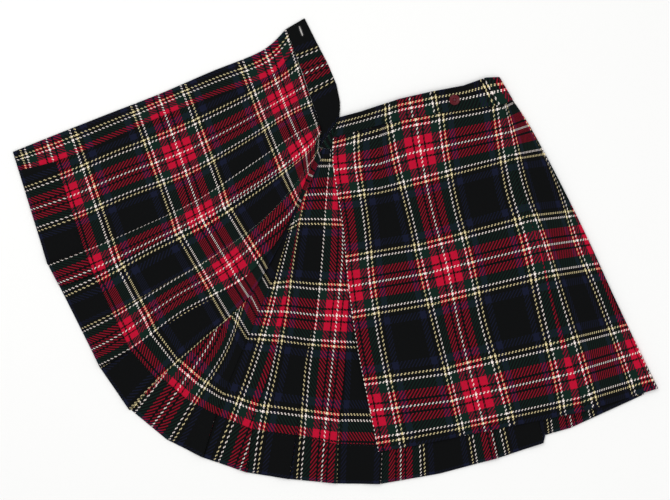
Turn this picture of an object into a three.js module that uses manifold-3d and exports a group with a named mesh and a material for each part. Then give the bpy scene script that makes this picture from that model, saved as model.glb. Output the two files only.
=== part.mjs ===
// A wrapped, pleated tartan skirt, laid open flat: over apron with its inside up on the left,
// pleated back in the middle, under apron folded over on the right. Millimetres, +Z up.
import * as THREE from 'three';
import { mergeVertices } from 'three/addons/utils/BufferGeometryUtils.js';
import Module from 'manifold-3d';

const wasm = await Module();
wasm.setup();

// Driving sizes
const clothThickness = 1.0;
const layerGap = 0.35;
const seamGap = 0.35;
const hemThickness = 1.0;
const bandThickness = 2.4;
const foldBend = 1.2;          // how far a pressed fold is rounded back from its edge
const rampLength = 26;         // where a panel climbs onto the pleat under it
const underApronHeight = 6.0;  // middle of the under apron's wall above the floor
const wrapReturn = 16;         // what turns under at the right-hand fold
const layerStep = clothThickness + layerGap;
const pleatRise = 2 * layerStep;
const coveredWidth = 19;       // of the back, under the over apron's last edge

// The cloth's length is told by stations: 0 hem, 1 inner edge of the turned-up hem,
// 2 to 5 every half check up the cloth, 6 waist seam.
const sections = [0, 0.5, 1, 1.6, 2.2, 2.8, 3.4, 4, 4.6, 5.3, 6];
const hemSections = [0, 0.45, 0.9];

// Each line runs up the cloth from hem to waist. pleat is the depth of the fold under it
// at the hem and at the waist; a line without one only bends the row.
const overApronLines = {
  front: {
    hem: [-644, 198], edge: [-565, 230], low: [-461, 271], mid: [-353, 313],
    high: [-251, 357], hip: [-147, 400], waist: [-98, 444],
  },
  foldA: {
    hem: [-575, -26], edge: [-491, 6], low: [-383, 52], mid: [-279, 102],
    high: [-177, 170], hip: [-79, 236], waist: [-33, 258], pleat: [10, 16],
  },
  foldB: {
    hem: [-551, -70], edge: [-473, -42], low: [-371, 10], mid: [-267, 64],
    high: [-163, 126], hip: [-59, 196], waist: [-29, 238], pleat: [10, 12],
  },
  foldC: {
    hem: [-469, -234], edge: [-401, -192], low: [-302, -125], mid: [-192, -62],
    high: [-107, 34], hip: [-56, 150], waist: [-33, 206], pleat: [10, 14],
  },
  foldD: {
    hem: [-411, -318], edge: [-347, -251], low: [-268, -182], mid: [-173, -92],
    high: [-104, 26], hip: [-47, 144], waist: [-28, 190],
  },
};

const backLines = {
  start: {
    hem: [-419, -308], edge: [-351, -234], low: [-259, -152], mid: [-179, -76],
    high: [-125, 6], hip: [-91, 106], waist: [-58, 188],
  },
  bendD: {
    hem: [-337, -376], edge: [-291, -286], low: [-225, -186], mid: [-165, -97],
    high: [-117, -1], hip: [-84, 103], waist: [-51, 190],
  },
  foldE: {
    hem: [-265, -412], edge: [-235, -316], low: [-197, -222], mid: [-153, -120],
    high: [-109, -10], hip: [-77, 100], waist: [-43, 205], pleat: [9, 5],
  },
  foldF: {
    hem: [-177, -442], edge: [-165, -344], low: [-129, -232], mid: [-103, -120],
    high: [-83, -2], hip: [-62, 112], waist: [-28, 205.6], pleat: [9, 5],
  },
  foldG: {
    hem: [-93, -455], edge: [-79, -358], low: [-64, -242], mid: [-43, -126],
    high: [-30, -6], hip: [-21, 114], waist: [-11, 203], pleat: [10, 8],
  },
  foldH: {
    hem: [1, -464], edge: [5, -374], low: [16, -250], mid: [24, -128],
    high: [29, -8], hip: [25, 112], waist: [15, 208], pleat: [12, 12],
  },
  foldI: {
    hem: [89, -465], edge: [93, -376], low: [99, -252], mid: [105, -130],
    high: [105, -10], hip: [95, 114], waist: [77, 224], pleat: [12, 24],
  },
  bendI: {
    hem: [209, -444], edge: [203, -360], low: [191, -236], mid: [181, -114],
    high: [169, 8], hip: [153, 130], waist: [133, 242],
  },
  foldJ: {
    hem: [325, -413], edge: [307, -330], low: [281, -208], mid: [257, -88],
    high: [233, 32], hip: [209, 152], waist: [189, 258], pleat: [12, 30],
  },
  foldK: {
    hem: [415, -383], edge: [395, -302], low: [365, -182], mid: [333, -64],
    high: [301, 54], hip: [273, 170], waist: [253, 274], pleat: [12, 24],
  },
  bendK: {
    hem: [419, -367], edge: [401, -298], low: [371, -180], mid: [339, -62],
    high: [307, 56], hip: [279, 172], waist: [259, 275.3],
  },
  bendEnd: {
    hem: [469, -353], edge: [445.5, -273.5], low: [411, -158], mid: [375, -42],
    high: [337, 73], hip: [302, 186], waist: [276, 279],
  },
  end: {
    hem: [616, -286], edge: [579, -200], low: [531, -92], mid: [483, 18],
    high: [428, 124], hip: [370, 228], waist: [328, 290],
  },
};

const underApronLines = {
  edge: {
    hem: [85, -400], edge: [68, -316], low: [43, -192], mid: [25, -66],
    high: [14, 50], hip: [-5, 168], waist: [-5, 226],
  },
  dart: {
    hem: [161, -387.8], edge: [145, -308.5], low: [125, -181], mid: [105.5, -54],
    high: [93, 62], hip: [85, 176], waist: [82, 248.2],
  },
  bend: {
    hem: [247, -370], edge: [232, -300], low: [208, -170], mid: [186, -42],
    high: [166, 74], hip: [146, 194], waist: [136, 262],
  },
  foldL: {
    hem: [495, -320], edge: [476, -243], low: [437, -114], mid: [405, 12],
    high: [364, 128], hip: [344, 233], waist: [334, 292], pleat: [10, 18],
  },
  side: {
    hem: [643, -274], edge: [603, -192], low: [553, -86], mid: [503, 24],
    high: [449, 134], hip: [389, 246], waist: [353, 301],
  },
};

// Waistband pieces: seam edge and top edge at each station along the band
const overBandEdges = {
  seam: [[-98, 444], [-82, 398], [-65, 351], [-49, 304], [-33, 258], [-29, 238], [-32.2, 206.6]],
  top: [[-62, 465], [-37, 415], [-15, 373], [2, 332], [9, 298], [9, 282], [7, 264]],
};
const backBandEdges = {
  seam: [[-32.2, 206.6], [-11, 203], [15, 208], [77, 224], [133, 242], [189, 258], [253, 274], [328, 290]],
  top: [[7, 264], [9, 262], [28, 262], [82, 274], [138, 290], [190, 302], [252, 314], [298, 329]],
};
const underBandEdges = {
  seam: [[-5, 226], [45, 239], [90, 251], [136, 262], [200, 273], [265, 282], [334, 292], [353, 301]],
  top: [[5, 266], [49, 278], [89, 291], [129, 304], [191, 318], [255, 330], [300, 346], [326, 347]],
};

const facingWidths = [39, 50, 48, 43, 47, 51, 44];  // at each station
const stationNames = ['hem', 'edge', 'low', 'mid', 'high', 'hip', 'waist'];

const buttonSize = { radius: 10.5, edge: 3.0, dish: 1.9, rim: 2.6, hole: 1.1, holeReach: 2.1 };
const buttonPlace = [237, 301];
const buttonholeSize = { length: 20, width: 2.4 };
const buttonholePlace = [-69, 439];
const buttonholeTurn = -1.22;   // the slit's angle from +X, in radians

// Interpolation of a station table
function spline(values, station) {
  const last = values.length - 1;
  const left = Math.min(Math.floor(station), last - 1);
  const t = station - left;
  const at = (index) => values[Math.max(0, Math.min(last, index))];
  const [a, b, c, d] = [at(left - 1), at(left), at(left + 1), at(left + 2)];
  const blend = (p, q, r, s) => {
    const slopeIn = (r - p) / 2;
    const slopeOut = (s - q) / 2;
    const bend = 3 * (r - q) - 2 * slopeIn - slopeOut;
    const turn = 2 * (q - r) + slopeIn + slopeOut;
    return q + slopeIn * t + bend * t * t + turn * t * t * t;
  };
  return Array.isArray(b) ? b.map((_, axis) => blend(a[axis], b[axis], c[axis], d[axis])) : blend(a, b, c, d);
}

function lineAt(line, station) {
  return spline(stationNames.map((name) => line[name]), station);
}

// A row across the cloth: plan points of every line and their distances along the row
function rowAcross(points) {
  const reach = [0];
  for (let index = 1; index < points.length; index += 1) {
    const [from, to] = [points[index - 1], points[index]];
    reach.push(reach[index - 1] + Math.hypot(to[0] - from[0], to[1] - from[1]));
  }
  return { points, reach };
}

function planPoint(row, distance) {
  const { points, reach } = row;
  let index = 1;
  while (index < points.length - 1 && distance > reach[index]) {
    index += 1;
  }
  const t = (distance - reach[index - 1]) / (reach[index] - reach[index - 1]);
  const [from, to] = [points[index - 1], points[index]];
  return [from[0] + (to[0] - from[0]) * t, from[1] + (to[1] - from[1]) * t];
}

function smooth(value) {
  const t = Math.max(0, Math.min(1, value));
  return t * t * (3 - 2 * t);
}

// The panels between pleat folds, with where each starts, climbs and ends along a row
function panelsOf(lines, station) {
  const list = Object.values(lines);
  const row = rowAcross(list.map((line) => lineAt(line, station)));
  const panels = [];
  let start = 0;
  let visible = 0;
  let bends = [];
  list.forEach((line, index) => {
    const isLast = index === list.length - 1;
    if (index > 0 && !isLast && !line.pleat) {
      bends.push(row.reach[index]);
    }
    if (index > 0 && (isLast || line.pleat)) {
      const end = row.reach[index];
      const free = end - visible;
      const wanted = isLast ? 0 : line.pleat[0] + (line.pleat[1] - line.pleat[0]) * station / 6;
      const depth = isLast ? 0 : Math.min(wanted, free * 0.45);
      const rampEnd = end - depth - 2 * foldBend;
      const rampStart = rampEnd - Math.min(rampLength, (rampEnd - visible) * 0.7);
      panels.push({ start, visible, bends, rampStart, rampEnd, end, depth, isLast });
      start = end - depth + foldBend;
      visible = end;
      bends = [];
    }
  });
  return { row, panels };
}

function panelHeight(panel, distance) {
  if (panel.isLast) {
    return 0;
  }
  const t = (distance - panel.rampStart) / (panel.rampEnd - panel.rampStart);
  return pleatRise * Math.max(0, Math.min(1, t));
}

// The points of a panel from its start to its end: distance along the row only
function panelStops(panel, parts) {
  const limit = panel.isLast ? panel.end : panel.rampStart;
  const bends = panel.bends.map((bend) => Math.min(bend, panel.start + (limit - panel.start) * 0.8));
  const before = panel.visible > panel.start ? [panel.start, panel.visible] : [panel.start];
  const marks = [...before, ...bends, limit];
  const stops = [marks[0]];
  for (let index = 1; index < marks.length; index += 1) {
    for (let part = 1; part <= parts; part += 1) {
      stops.push(marks[index - 1] + (marks[index] - marks[index - 1]) * part / parts);
    }
  }
  if (!panel.isLast) {
    stops.push(panel.rampEnd, panel.end - foldBend);
  }
  return stops;
}

// Middle line of a folded wall in one row, as [distance along the row, height]
function foldedPath(panels, parts) {
  const path = [];
  for (const panel of panels) {
    for (const stop of panelStops(panel, parts)) {
      path.push([stop, panelHeight(panel, stop)]);
    }
    if (!panel.isLast) {
      const under = panel.end - panel.depth;
      path.push([panel.end, pleatRise - layerStep / 2]);
      path.push([panel.end - foldBend, layerStep]);
      path.push([under + foldBend, layerStep]);
      path.push([under, layerStep / 2]);
    }
  }
  return path;
}

// Turns the wall's last edge down and back under itself
function wrapEnd(path, drop) {
  const [end] = path.pop();
  const steps = 4;
  for (let step = 0; step <= steps; step += 1) {
    const angle = Math.PI * step / steps;
    path.push([end - drop / 2 + Math.sin(angle) * drop / 2, -drop / 2 + Math.cos(angle) * drop / 2]);
  }
  path.push([end - drop / 2 - wrapReturn, -drop]);
}

// Both faces of a wall whose middle line in one row is path
function wallFaces(row, path, thickness, lift) {
  const unit = (from, to) => {
    const length = Math.hypot(to[0] - from[0], to[1] - from[1]);
    return [(to[0] - from[0]) / length, (to[1] - from[1]) / length];
  };
  const faces = { upper: [], lower: [] };
  path.forEach((point, index) => {
    const before = unit(path[Math.max(0, index - 1)], path[Math.max(1, index)]);
    const after = unit(path[Math.min(path.length - 2, index)], path[Math.min(path.length - 1, index + 1)]);
    const sum = [before[0] + after[0], before[1] + after[1]];
    const size = Math.hypot(...sum);
    const spread = Math.min(1.25, 2 / size);
    const normal = [-sum[1] / size, sum[0] / size];
    const place = (side) => {
      const distance = point[0] + normal[0] * side * spread;
      const [x, y] = planPoint(row, distance);
      const middle = planPoint(row, point[0]);
      return [x, y, point[1] + normal[1] * side * spread + lift(middle[0], middle[1])];
    };
    faces.upper.push(place(thickness / 2));
    faces.lower.push(place(-thickness / 2));
  });
  return faces;
}

// A closed wall from rows of upper and lower points
function closedWall(rows) {
  const across = rows[0].upper.length;
  const corners = [];
  for (const row of rows) {
    corners.push(...row.upper.flat(), ...row.lower.flat());
  }
  const at = (row, side, column) => (row * 2 + side) * across + column;
  const faces = [];
  const quad = (a, b, c, d) => faces.push(a, b, c, a, c, d);
  for (let row = 0; row < rows.length - 1; row += 1) {
    for (let column = 0; column < across - 1; column += 1) {
      const next = column + 1;
      quad(at(row, 0, column), at(row, 0, next), at(row + 1, 0, next), at(row + 1, 0, column));
      quad(at(row, 1, column), at(row + 1, 1, column), at(row + 1, 1, next), at(row, 1, next));
    }
    const end = across - 1;
    quad(at(row, 0, 0), at(row + 1, 0, 0), at(row + 1, 1, 0), at(row, 1, 0));
    quad(at(row, 0, end), at(row, 1, end), at(row + 1, 1, end), at(row + 1, 0, end));
  }
  const last = rows.length - 1;
  for (let column = 0; column < across - 1; column += 1) {
    const next = column + 1;
    quad(at(0, 0, column), at(0, 1, column), at(0, 1, next), at(0, 0, next));
    quad(at(last, 0, column), at(last, 0, next), at(last, 1, next), at(last, 1, column));
  }
  const geometry = new THREE.BufferGeometry();
  geometry.setAttribute('position', new THREE.Float32BufferAttribute(corners, 3));
  geometry.setIndex(faces);
  return outward(geometry);
}

function outward(geometry) {
  const place = geometry.getAttribute('position');
  const index = geometry.getIndex().array;
  let volume = 0;
  for (let corner = 0; corner < index.length; corner += 3) {
    const [a, b, c] = [0, 1, 2].map((step) => new THREE.Vector3().fromBufferAttribute(place, index[corner + step]));
    volume += a.dot(b.cross(c));
  }
  if (volume < 0) {
    for (let corner = 0; corner < index.length; corner += 3) {
      [index[corner], index[corner + 1]] = [index[corner + 1], index[corner]];
    }
  }
  geometry.computeVertexNormals();
  return geometry;
}

// The over apron rises where it lies over the left edge of the pleated back
function overApronLift(x, y) {
  const line = backLines.start;
  let nearest = Infinity;
  let side = 1;
  for (let index = 0; index < stationNames.length - 1; index += 1) {
    const [from, to] = [line[stationNames[index]], line[stationNames[index + 1]]];
    const along = [to[0] - from[0], to[1] - from[1]];
    const length = Math.hypot(...along);
    const t = ((x - from[0]) * along[0] + (y - from[1]) * along[1]) / length ** 2;
    const inside = Math.max(0, Math.min(1, t));
    const away = [x - from[0] - along[0] * inside, y - from[1] - along[1] * inside];
    const distance = Math.hypot(...away);
    if (distance < nearest) {
      nearest = distance;
      side = away[0] * along[1] - away[1] * along[0] > 0 ? 1 : -1;
    }
  }
  const coverStart = -44;
  const coverEnd = -10;
  const lowLift = layerStep + 0.25;
  const highLift = pleatRise + layerStep + 0.45;
  const height = lowLift + (highLift - lowLift) * smooth((y + 130) / 90);
  return height * smooth((side * nearest - coverStart) / (coverEnd - coverStart));
}

const floorLevel = clothThickness / 2;
const overLevel = (x, y) => floorLevel + overApronLift(x, y);
const backLevel = () => floorLevel;
const underLevel = () => underApronHeight;

function buildWall(lines, level, parts, drop) {
  const rows = sections.map((station) => {
    const { row, panels } = panelsOf(lines, station);
    const path = foldedPath(panels, parts);
    if (drop) {
      wrapEnd(path, drop);
    }
    return wallFaces(row, path, clothThickness, level);
  });
  return closedWall(rows);
}

// A strip on one panel, made from the panel's own points and moved up off its face
function buildStrip(lines, panelIndex, level, stations, reachOf) {
  const rise = clothThickness / 2 + seamGap + hemThickness / 2;
  const rows = stations.map((station) => {
    const { row, panels } = panelsOf(lines, station);
    const panel = panels[panelIndex];
    const [from, to] = reachOf(panel, station);
    const count = 6;
    const path = [];
    for (let step = 0; step <= count; step += 1) {
      path.push(from + (to - from) * step / count);
    }
    // stops of the panel replace the even ones, so that the strip bends where the panel does
    const marks = [...panel.bends, panel.isLast ? null : panel.rampStart, panel.isLast ? null : panel.rampEnd];
    marks.filter((mark) => mark !== null && mark > from + 1 && mark < to - 1).forEach((mark) => {
      const near = path.slice(1, -1).reduce((best, value) => (
        Math.abs(value - mark) < Math.abs(best - mark) ? value : best), path[1]);
      path[path.indexOf(near)] = mark;
    });
    path.sort((a, b) => a - b);
    const line = path.map((distance) => [distance, panelHeight(panel, distance) + rise]);
    return wallFaces(row, line, hemThickness, level);
  });
  return closedWall(rows);
}

function hemStrip(lines, panelIndex, level) {
  return buildStrip(lines, panelIndex, level, hemSections, (panel, station) => {
    const isFront = lines === overApronLines && panelIndex === 0;
    const isCovered = lines === backLines && panelIndex === 0;
    const clear = clothThickness / 2 + seamGap + 0.4 + (isCovered ? coveredWidth : 0);
    const from = isFront ? spline(facingWidths, station) + seamGap : panel.visible + clear;
    return [from, panel.end - foldBend - 0.4];
  });
}

function frontFacing() {
  return buildStrip(overApronLines, 0, overLevel, sections, (panel, station) => (
    [0.4, spline(facingWidths, station)]));
}

// A waistband piece: flat strip between its seam edge and its top edge
function bandWall(edges, height, drop) {
  const rows = [0, 0.5, 1].map((across) => {
    const points = edges.seam.map((seam, index) => {
      const top = edges.top[index];
      const length = Math.hypot(top[0] - seam[0], top[1] - seam[1]);
      const off = (seamGap + (length - seamGap) * across) / length;
      return [seam[0] + (top[0] - seam[0]) * off, seam[1] + (top[1] - seam[1]) * off];
    });
    const row = rowAcross(points);
    const path = row.reach.map((distance) => [distance, 0]);
    path[0][0] += seamGap;
    if (drop) {
      wrapEnd(path, drop);
    } else {
      path[path.length - 1][0] -= seamGap;
    }
    return wallFaces(row, path, bandThickness, () => height);
  });
  return closedWall(rows);
}

function toManifold(geometry) {
  const bare = geometry.clone();
  bare.deleteAttribute('normal');
  bare.deleteAttribute('uv');
  const merged = mergeVertices(bare, 1e-4);
  return new wasm.Manifold(new wasm.Mesh({
    numProp: 3,
    vertProperties: new Float32Array(merged.getAttribute('position').array),
    triVerts: new Uint32Array(merged.getIndex().array),
  }));
}

function fromManifold(solid) {
  const mesh = solid.getMesh();
  const geometry = new THREE.BufferGeometry();
  geometry.setAttribute('position', new THREE.Float32BufferAttribute(mesh.vertProperties, 3));
  geometry.setIndex(Array.from(mesh.triVerts));
  geometry.computeVertexNormals();
  return geometry;
}

// A slot that cuts right through the band for the button
function cutButtonhole(band) {
  const { length, width } = buttonholeSize;
  const shape = new THREE.Shape();
  const reach = length / 2 - width / 2;
  shape.absarc(reach, 0, width / 2, -Math.PI / 2, Math.PI / 2, false);
  shape.absarc(-reach, 0, width / 2, Math.PI / 2, Math.PI * 3 / 2, false);
  const depth = bandThickness * 4;
  const slot = new THREE.ExtrudeGeometry(shape, { depth, bevelEnabled: false, curveSegments: 4 });
  slot.rotateZ(buttonholeTurn);
  slot.translate(buttonholePlace[0], buttonholePlace[1], -bandThickness);
  return fromManifold(toManifold(band).subtract(toManifold(slot)));
}

// A dished button with a raised rim and four sewing holes
function buttonBody() {
  const { radius, edge, dish, rim, hole, holeReach } = buttonSize;
  const profile = [
    [0, 0], [radius - 1.4, 0], [radius, 0.9], [radius, edge - 0.8], [radius - 0.8, edge],
    [radius - rim, edge - 0.3], [radius - rim - 1.6, dish], [0, dish],
  ];
  const disc = new THREE.LatheGeometry(profile.map(([x, y]) => new THREE.Vector2(x, y)), 28);
  disc.rotateX(Math.PI / 2);
  let solid = toManifold(disc);
  for (let index = 0; index < 4; index += 1) {
    const angle = Math.PI / 4 + index * Math.PI / 2;
    const drill = new THREE.CylinderGeometry(hole, hole, edge * 4, 10);
    drill.rotateX(Math.PI / 2);
    drill.translate(Math.cos(angle) * holeReach, Math.sin(angle) * holeReach, 0);
    solid = solid.subtract(toManifold(drill));
  }
  return fromManifold(solid);
}

const tartan = { color: 0x1a1c26, roughness: 0.95, metalness: 0 };
const tartanInside = { color: 0x23222c, roughness: 0.95, metalness: 0 };
const bandCloth = { color: 0x121318, roughness: 0.92, metalness: 0 };
const buttonPlastic = { color: 0x5c0f1c, roughness: 0.35, metalness: 0 };

const skirt = new THREE.Group();
skirt.name = 'tartan_skirt';

function addPiece(name, geometry, finish, height = 0) {
  const piece = new THREE.Mesh(geometry, new THREE.MeshStandardMaterial(finish));
  piece.name = name;
  piece.position.z = height;
  skirt.add(piece);
}

addPiece('over_apron', buildWall(overApronLines, overLevel, 4), tartan);
addPiece('pleated_back', buildWall(backLines, backLevel, 2), tartan);
addPiece('under_apron', buildWall(underApronLines, underLevel, 4, underApronHeight - floorLevel), tartan);
addPiece('front_facing', frontFacing(), tartanInside);
for (let index = 0; index < 4; index += 1) {
  addPiece(`over_apron_hem_${index + 1}`, hemStrip(overApronLines, index, overLevel), tartanInside);
}
for (let index = 0; index < 8; index += 1) {
  addPiece(`back_hem_${index + 1}`, hemStrip(backLines, index, backLevel), tartanInside);
}
const bandLevel = bandThickness / 2;
addPiece('waistband_over_apron', cutButtonhole(bandWall(overBandEdges, bandLevel)), bandCloth);
addPiece('waistband_back', bandWall(backBandEdges, bandLevel), bandCloth);
const bandDrop = underApronHeight - bandLevel;
addPiece('waistband_under_apron', bandWall(underBandEdges, underApronHeight, bandDrop), bandCloth);

const button = buttonBody();
button.translate(buttonPlace[0], buttonPlace[1], 0);
addPiece('button', button, buttonPlastic, underApronHeight + bandThickness / 2 + 0.3);

export default skirt;
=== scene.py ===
import math
import bpy
import bmesh
from mathutils import Matrix, Vector, noise


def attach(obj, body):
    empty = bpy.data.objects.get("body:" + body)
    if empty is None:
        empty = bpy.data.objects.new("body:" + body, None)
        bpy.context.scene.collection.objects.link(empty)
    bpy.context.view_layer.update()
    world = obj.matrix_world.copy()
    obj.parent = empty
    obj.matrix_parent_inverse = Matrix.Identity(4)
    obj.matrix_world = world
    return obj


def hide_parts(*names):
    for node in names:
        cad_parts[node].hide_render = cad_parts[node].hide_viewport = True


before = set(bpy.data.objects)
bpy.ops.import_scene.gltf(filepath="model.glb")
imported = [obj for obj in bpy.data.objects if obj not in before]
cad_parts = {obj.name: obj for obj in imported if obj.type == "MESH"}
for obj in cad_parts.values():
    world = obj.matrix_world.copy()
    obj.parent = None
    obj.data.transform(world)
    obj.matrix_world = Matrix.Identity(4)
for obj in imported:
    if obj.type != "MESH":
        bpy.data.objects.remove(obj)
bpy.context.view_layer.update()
mm = 0.001

# A wrapped, pleated tartan skirt laid open flat. Plan sizes are in millimetres, as the
# cutter has them, and become metres where a mesh is made.
cloth = {
    "thickness": 1.0,
    "layerGap": 0.35,
    "seamGap": 0.35,
    "foldBend": 1.2,        # how far a pressed fold is rounded back
    "rampLength": 26,       # where a panel climbs onto the pleat under it
    "underApronHeight": 6.0,
    "wrapReturn": 16,       # what turns under at the right-hand fold
    "coveredWidth": 19,     # of the back, under the over apron's last edge
    "rowStep": 0.125,       # rows of the mesh, in stations
    "rippleHeight": 0.9,
    "rippleLength": 150,
    "fineRipple": 0.37,     # length of the finer ripple as a share of the broad one
    "creaseWidth": 4.5,
    "creaseSteps": (-9, -5, -2.5, 4.5, 8),      # extra columns of the mesh beside a crease
    "checkWidth": 216,      # one repeat of the check across the cloth
    "sections": 6,          # stations from hem to waist
    "hemEdge": 0.9,         # the turned-up hem's inner edge, in stations
    "hemClear": 0.15,       # between a hem strip and the pleat's edge over it
}
layerStep = cloth["thickness"] + cloth["layerGap"]
pleatRise = 2 * layerStep
floorLevel = cloth["thickness"] / 2
onTop = cloth["thickness"] + cloth["seamGap"]      # from a wall's middle to that of a strip lying on it

# Stations run up the cloth: hem, inner edge of the turned-up hem, every half check, waist seam
overApronLines = {
    "front": [(-644, 198), (-565, 230), (-461, 271), (-353, 313), (-251, 357), (-147, 400), (-98, 444)],
    "foldA": [(-575, -26), (-491, 6), (-383, 52), (-279, 102), (-177, 170), (-79, 236), (-33, 258)],
    "foldB": [(-551, -70), (-473, -42), (-371, 10), (-267, 64), (-163, 126), (-59, 196), (-29, 238)],
    "foldC": [(-469, -234), (-401, -192), (-302, -125), (-192, -62), (-107, 34), (-56, 150), (-33, 206)],
    "foldD": [(-411, -318), (-347, -251), (-268, -182), (-173, -92), (-104, 26), (-47, 144), (-28, 190)],
}
overApronPleats = {"foldA": (10, 16), "foldB": (10, 12), "foldC": (10, 14)}
backLines = {
    "start": [(-419, -308), (-351, -234), (-259, -152), (-179, -76), (-125, 6), (-91, 106), (-58, 188)],
    "bendD": [(-337, -376), (-291, -286), (-225, -186), (-165, -97), (-117, -1), (-84, 103), (-51, 190)],
    "foldE": [(-265, -412), (-235, -316), (-197, -222), (-153, -120), (-109, -10), (-77, 100), (-43, 205)],
    "foldF": [(-177, -442), (-165, -344), (-129, -232), (-103, -120), (-83, -2), (-62, 112), (-28, 205.6)],
    "foldG": [(-93, -455), (-79, -358), (-64, -242), (-43, -126), (-30, -6), (-21, 114), (-11, 203)],
    "foldH": [(1, -464), (5, -374), (16, -250), (24, -128), (29, -8), (25, 112), (15, 208)],
    "foldI": [(89, -465), (93, -376), (99, -252), (105, -130), (105, -10), (95, 114), (77, 224)],
    "bendI": [(209, -444), (203, -360), (191, -236), (181, -114), (169, 8), (153, 130), (133, 242)],
    "foldJ": [(325, -413), (307, -330), (281, -208), (257, -88), (233, 32), (209, 152), (189, 258)],
    "foldK": [(415, -383), (395, -302), (365, -182), (333, -64), (301, 54), (273, 170), (253, 274)],
    "bendK": [(419, -367), (401, -298), (371, -180), (339, -62), (307, 56), (279, 172), (259, 275.3)],
    "bendEnd": [(469, -353), (445.5, -273.5), (411, -158), (375, -42), (337, 73), (302, 186), (276, 279)],
    "end": [(616, -286), (579, -200), (531, -92), (483, 18), (428, 124), (370, 228), (328, 290)],
}
backPleats = {
    "foldE": (9, 5), "foldF": (9, 5), "foldG": (10, 8), "foldH": (12, 12),
    "foldI": (12, 24), "foldJ": (12, 30), "foldK": (12, 24),
}
underApronLines = {
    "edge": [(85, -400), (68, -316), (43, -192), (25, -66), (14, 50), (-5, 168), (-5, 226)],
    "dart": [(161, -387.8), (145, -308.5), (125, -181), (105.5, -54), (93, 62), (85, 176), (82, 248.2)],
    "bend": [(247, -370), (232, -300), (208, -170), (186, -42), (166, 74), (146, 194), (136, 262)],
    "foldL": [(495, -320), (476, -243), (437, -114), (405, 12), (364, 128), (344, 233), (334, 292)],
    "side": [(643, -274), (603, -192), (553, -86), (503, 24), (449, 134), (389, 246), (353, 301)],
}
underApronPleats = {"foldL": (10, 18)}

# Where the cloth lies in the check: knots of (share of the width, place in the check). One check
# is 1, a red band's middle is a whole number, and a list holds the seven stations.
checkUp = {
    "inside": [
        (0, [-0.32, 0.06, 0.515, 1.005, 1.485, 1.975, 2.22]), (0.5, [-0.315, 0.06, 0.51, 1, 1.495, 2, 2.24]),
        (0.8, [-0.3, 0.05, 0.49, 1, 1.5, 2, 2.24]), (1, [-0.305, 0.055, 0.495, 1, 1.5, 1.98, 2.24]),
    ],
    "back": [
        (0, [-0.31, 0.115, 0.54, 1, 1.5, 2, 2.33]), (0.22, [-0.31, 0.11, 0.525, 1.005, 1.495, 2, 2.33]),
        (0.4, [-0.315, 0.075, 0.52, 1.01, 1.495, 2, 2.33]), (1, [-0.315, 0.065, 0.51, 1.005, 1.5, 2, 2.33]),
    ],
    "outside": [
        (0, [-0.315, 0.01, 0.51, 1.02, 1.51, 2.03, 2.3]), (0.4, [-0.325, -0.01, 0.49, 1.005, 1.505, 2, 2.265]),
        (0.8, [-0.335, 0, 0.5, 1.01, 1.5, 1.99, 2.25]), (1, [-0.33, 0.04, 0.525, 1, 1.49, 1.98, 2.23]),
    ],
}
overApronCheck = [
    [(0, [0.345, 0.35, 0.36, 0.375, 0.375, 0.375, 0.375]), (0.55, [1.04, 1.02, 1.025, 0.985, 0.94, 0.945, 0.93]),
     (1, [1.63, 1.63, 1.6, 1.55, 1.52, 1.52, 1.48])],
    [(0, 1.77), (0.1, [1.8, 1.815, 1.825, 1.815, 1.805, 1.82, 1.81]), (1, [2.03, 2.05, 2.04, 2.03, 2.02, 2.03, 2.01])],
    # a shallow tuck at the third and fourth knots takes up part of a check towards the waist
    [(0, [2.14, 2.17, 2.19, 2.195, 2.2, 2.2, 2.2]), ([0.13, 0.09, 0.08, 0.1, 0.1, 0.1, 0.1], 2.25), (0.25, 2.36),
     ([0.5, 0.5, 0.53, 0.5, 0.55, 0.62, 0.65], [2.72, 2.72, 2.7, 2.68, 2.62, 2.6, 2.6]),
     ([0.51, 0.51, 0.54, 0.515, 0.565, 0.635, 0.665], [2.745, 2.745, 2.78, 2.8, 2.875, 2.8, 2.64]),
     (0.8, [3.02, 3.02, 3.06, 3.07, 2.99, 2.84, 2.69]), (1, [3.25, 3.225, 3.25, 3.22, 3.08, 2.9, 2.74])],
    [(0, [3.28, 3.33, 3.33, 3.33, 3.4, 3.4, 3.4]), (1, [3.76, 3.76, 3.765, 3.74, 3.7, 3.7, 3.7])],
]
backCheck = [
    [(0, [3.68, 3.71, 3.88, 4.17, 4.36, 4.51, 4.51]), (0.45, [4.08, 4.05, 4.1, 4.36, 4.47, 4.55, 4.55]),
     (1, [4.57, 4.51, 4.46, 4.56, 4.6, 4.6, 4.6])],
    [(0, [4.64, 4.6, 4.62, 4.66, 4.74, 4.75, 4.75]), (1, [5.07, 4.97, 4.935, 4.92, 4.89, 4.88, 4.88])],
    [(0, [5.14, 5.14, 5.19, 5.22, 5.24, 5.24, 5.24]), (1, [5.58, 5.55, 5.51, 5.53, 5.51, 5.47, 5.47])],
    [(0, [5.67, 5.7, 5.735, 5.76, 5.77, 5.77, 5.77]), (1, [6.15, 6.14, 6.12, 6.11, 6.08, 6.08, 6.08])],
    [(0, [6.245, 6.25, 6.27, 6.3, 6.3, 6.3, 6.3]), (1, 6.725)],
    [(0, 6.79), (1, 8.01)],
    [(0, 8.13), (1, 8.61)],
    [(0, 8.63), (1, 9.81)],
]
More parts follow.
